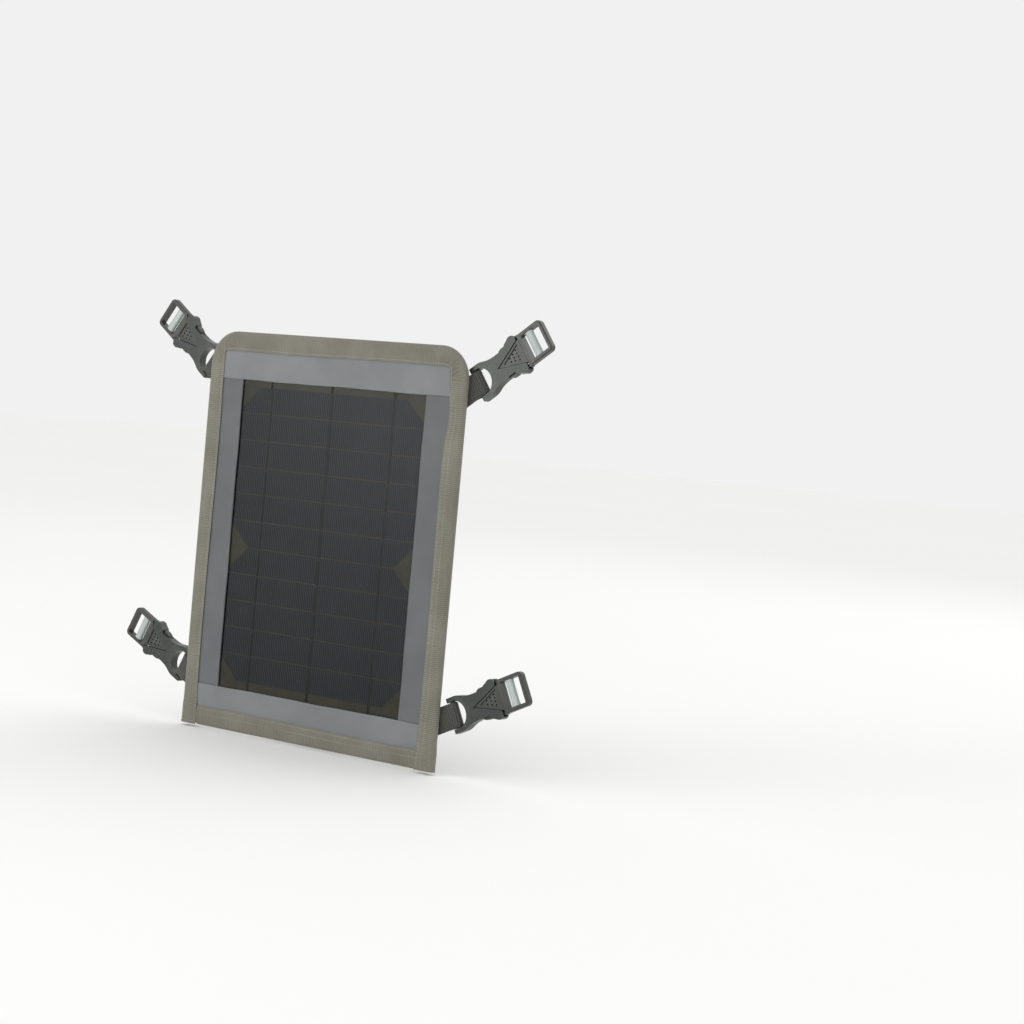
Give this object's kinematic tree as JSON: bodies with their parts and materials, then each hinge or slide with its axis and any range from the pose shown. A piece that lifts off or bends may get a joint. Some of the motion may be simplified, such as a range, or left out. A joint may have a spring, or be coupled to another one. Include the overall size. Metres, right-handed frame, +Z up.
{
  "type": "solar panel",
  "caption": "Fabric-framed portable solar panel with strips of dark cells behind clear film, four webbing tabs with side-release buckles, and a small USB outlet box on the back.",
  "frame": {"origin": "centre of the panel on its back face", "axes": "+Z up the panel towards the rounded corners, +X to the right seen from the face, -Y out of the face"},
  "size_m": [0.3442, 0.0191, 0.2874],
  "materials": {
    "cell": "textured blue-black silicon",
    "ribbon": "tinned copper, dark coated",
    "film": "clear weatherproof film",
    "encapsulant": "dark olive laminate",
    "board": "glass-fibre sheet",
    "foam": "closed-cell foam edge",
    "face_fabric": "satin blue-grey coated fabric",
    "binding": "ribbed olive-grey tape",
    "back_fabric": "black pack cloth",
    "webbing": "ribbed charcoal webbing",
    "buckle_plastic": "moulded grey-green acetal",
    "grip_bar": "ribbed pale moulded bar",
    "box_plastic": "fine textured moulding",
    "screw": "blackened steel",
    "circuit": "green circuit board",
    "usb_metal": "nickel-plated shell"
  },
  "bodies": {
    "panel": {"back_panel": "back_fabric", "substrate_board": "board", "edge_foam": "foam", "encapsulant_sheet": "encapsulant", "cell_strip_01": "cell", "cell_strip_02": "cell", "cell_strip_03": "cell", "cell_strip_04": "cell", "cell_strip_05": "cell", "cell_strip_06": "cell", "cell_strip_07": "cell", "cell_strip_08": "cell", "cell_strip_09": "cell", "cell_strip_10": "cell", "cell_strip_11": "cell", "tabbing_ribbon_left": "ribbon", "tabbing_ribbon_middle": "ribbon", "tabbing_ribbon_right": "ribbon", "bus_ribbon_top": "ribbon", "bus_ribbon_bottom": "ribbon", "front_film": "film", "face_strip_left": "face_fabric", "face_strip_right": "face_fabric", "face_strip_top": "face_fabric", "face_strip_bottom": "face_fabric", "edge_binding_bottom": "binding", "edge_binding_sides": "binding", "outlet_box_base": "box_plastic", "outlet_box_lid": "box_plastic", "lid_screws": "screw", "outlet_circuit": "circuit", "usb_socket": "usb_metal", "tab_end_top_left": "webbing", "tab_end_top_right": "webbing", "tab_end_bottom_left": "webbing", "tab_end_bottom_right": "webbing"},
    "tab_top_left": {"tab_loop_top_left": "webbing"},
    "socket_top_left": {"buckle_socket_top_left": "buckle_plastic"},
    "plug_top_left": {"buckle_plug_top_left": "buckle_plastic", "grip_bar_top_left": "grip_bar"},
    "prong_a_top_left": {"prong_a_top_left": "buckle_plastic"},
    "prong_b_top_left": {"prong_b_top_left": "buckle_plastic"},
    "tab_top_right": {"tab_loop_top_right": "webbing"},
    "socket_top_right": {"buckle_socket_top_right": "buckle_plastic"},
    "plug_top_right": {"buckle_plug_top_right": "buckle_plastic", "grip_bar_top_right": "grip_bar"},
    "prong_a_top_right": {"prong_a_top_right": "buckle_plastic"},
    "prong_b_top_right": {"prong_b_top_right": "buckle_plastic"},
    "tab_bottom_left": {"tab_loop_bottom_left": "webbing"},
    "socket_bottom_left": {"buckle_socket_bottom_left": "buckle_plastic"},
    "plug_bottom_left": {"buckle_plug_bottom_left": "buckle_plastic", "grip_bar_bottom_left": "grip_bar"},
    "prong_a_bottom_left": {"prong_a_bottom_left": "buckle_plastic"},
    "prong_b_bottom_left": {"prong_b_bottom_left": "buckle_plastic"},
    "tab_bottom_right": {"tab_loop_bottom_right": "webbing"},
    "socket_bottom_right": {"buckle_socket_bottom_right": "buckle_plastic"},
    "plug_bottom_right": {"buckle_plug_bottom_right": "buckle_plastic", "grip_bar_bottom_right": "grip_bar"},
    "prong_a_bottom_right": {"prong_a_bottom_right": "buckle_plastic"},
    "prong_b_bottom_right": {"prong_b_bottom_right": "buckle_plastic"}
  },
  "joints": [
    {"name": "tab_fold_top_left", "type": "hinge", "parent": "panel", "child": "tab_top_left", "pos_m": [-0.10743, 0.0012, 0.1074], "axis": [-0.5878, 0, -0.809], "range_deg": [0, 100]},
    {"name": "buckle_pivot_top_left", "type": "hinge", "parent": "tab_top_left", "child": "socket_top_left", "pos_m": [-0.1139, 0.0039, 0.1121], "axis": [-0.5878, 0, -0.809], "range_deg": [-25, 60]},
    {"name": "plug_release_top_left", "type": "slide", "parent": "socket_top_left", "child": "plug_top_left", "axis": [-0.809, 0, 0.5878], "range_m": [0, 0.028], "deforming": ["prong_a_top_left", "prong_b_top_left"]},
    {"name": "prong_squeeze_a_top_left", "type": "hinge", "parent": "plug_top_left", "child": "prong_a_top_left", "pos_m": [-0.13821, 0.0039, 0.14261], "axis": [0, 1, 0], "range_deg": [0, 7], "stiffness_Nm_per_rad": 0.1},
    {"name": "prong_squeeze_b_top_left", "type": "hinge", "parent": "plug_top_left", "child": "prong_b_top_left", "pos_m": [-0.15043, 0.0039, 0.12579], "axis": [0, -1, 0], "range_deg": [0, 7]},
    {"name": "tab_fold_top_right", "type": "hinge", "parent": "panel", "child": "tab_top_right", "pos_m": [0.10743, 0.0012, 0.1074], "axis": [-0.5878, 0, 0.809], "range_deg": [0, 100]},
    {"name": "buckle_pivot_top_right", "type": "hinge", "parent": "tab_top_right", "child": "socket_top_right", "pos_m": [0.1139, 0.0039, 0.1121], "axis": [-0.5878, 0, 0.809], "range_deg": [-25, 60]},
    {"name": "plug_release_top_right", "type": "slide", "parent": "socket_top_right", "child": "plug_top_right", "axis": [0.809, 0, 0.5878], "range_m": [0, 0.028], "deforming": ["prong_a_top_right", "prong_b_top_right"]},
    {"name": "prong_squeeze_a_top_right", "type": "hinge", "parent": "plug_top_right", "child": "prong_a_top_right", "pos_m": [0.15043, 0.0039, 0.12579], "axis": [0, 1, 0], "range_deg": [0, 7], "stiffness_Nm_per_rad": 0.1},
    {"name": "prong_squeeze_b_top_right", "type": "hinge", "parent": "plug_top_right", "child": "prong_b_top_right", "pos_m": [0.13821, 0.0039, 0.14261], "axis": [0, -1, 0], "range_deg": [0, 7]},
    {"name": "tab_fold_bottom_left", "type": "hinge", "parent": "panel", "child": "tab_bottom_left", "pos_m": [-0.10981, 0.0012, -0.10011], "axis": [-0.4384, 0, -0.8988], "range_deg": [0, 100]},
    {"name": "buckle_pivot_bottom_left", "type": "hinge", "parent": "tab_bottom_left", "child": "socket_bottom_left", "pos_m": [-0.117, 0.0039, -0.0966], "axis": [-0.4384, 0, -0.8988], "range_deg": [-25, 60]},
    {"name": "plug_release_bottom_left", "type": "slide", "parent": "socket_bottom_left", "child": "plug_bottom_left", "axis": [-0.8988, 0, 0.4384], "range_m": [0, 0.028], "deforming": ["prong_a_bottom_left", "prong_b_bottom_left"]},
    {"name": "prong_squeeze_a_bottom_left", "type": "hinge", "parent": "plug_bottom_left", "child": "prong_a_bottom_left", "pos_m": [-0.14624, 0.0039, -0.07077], "axis": [0, 1, 0], "range_deg": [0, 7], "stiffness_Nm_per_rad": 0.1},
    {"name": "prong_squeeze_b_bottom_left", "type": "hinge", "parent": "plug_bottom_left", "child": "prong_b_bottom_left", "pos_m": [-0.15535, 0.0039, -0.08946], "axis": [0, -1, 0], "range_deg": [0, 7]},
    {"name": "tab_fold_bottom_right", "type": "hinge", "parent": "panel", "child": "tab_bottom_right", "pos_m": [0.10981, 0.0012, -0.10011], "axis": [-0.4384, 0, 0.8988], "range_deg": [0, 100]},
    {"name": "buckle_pivot_bottom_right", "type": "hinge", "parent": "tab_bottom_right", "child": "socket_bottom_right", "pos_m": [0.117, 0.0039, -0.0966], "axis": [-0.4384, 0, 0.8988], "range_deg": [-25, 60]},
    {"name": "plug_release_bottom_right", "type": "slide", "parent": "socket_bottom_right", "child": "plug_bottom_right", "axis": [0.8988, 0, 0.4384], "range_m": [0, 0.028], "deforming": ["prong_a_bottom_right", "prong_b_bottom_right"]},
    {"name": "prong_squeeze_a_bottom_right", "type": "hinge", "parent": "plug_bottom_right", "child": "prong_a_bottom_right", "pos_m": [0.15535, 0.0039, -0.08946], "axis": [0, 1, 0], "range_deg": [0, 7], "stiffness_Nm_per_rad": 0.1},
    {"name": "prong_squeeze_b_bottom_right", "type": "hinge", "parent": "plug_bottom_right", "child": "prong_b_bottom_right", "pos_m": [0.14624, 0.0039, -0.07077], "axis": [0, -1, 0], "range_deg": [0, 7]}
  ],
  "couplings": [
    {"joint": "prong_squeeze_b_top_left", "follows": "prong_squeeze_a_top_left", "ratio": 1},
    {"joint": "prong_squeeze_b_top_right", "follows": "prong_squeeze_a_top_right", "ratio": 1},
    {"joint": "prong_squeeze_b_bottom_left", "follows": "prong_squeeze_a_bottom_left", "ratio": 1},
    {"joint": "prong_squeeze_b_bottom_right", "follows": "prong_squeeze_a_bottom_right", "ratio": 1}
  ]
}
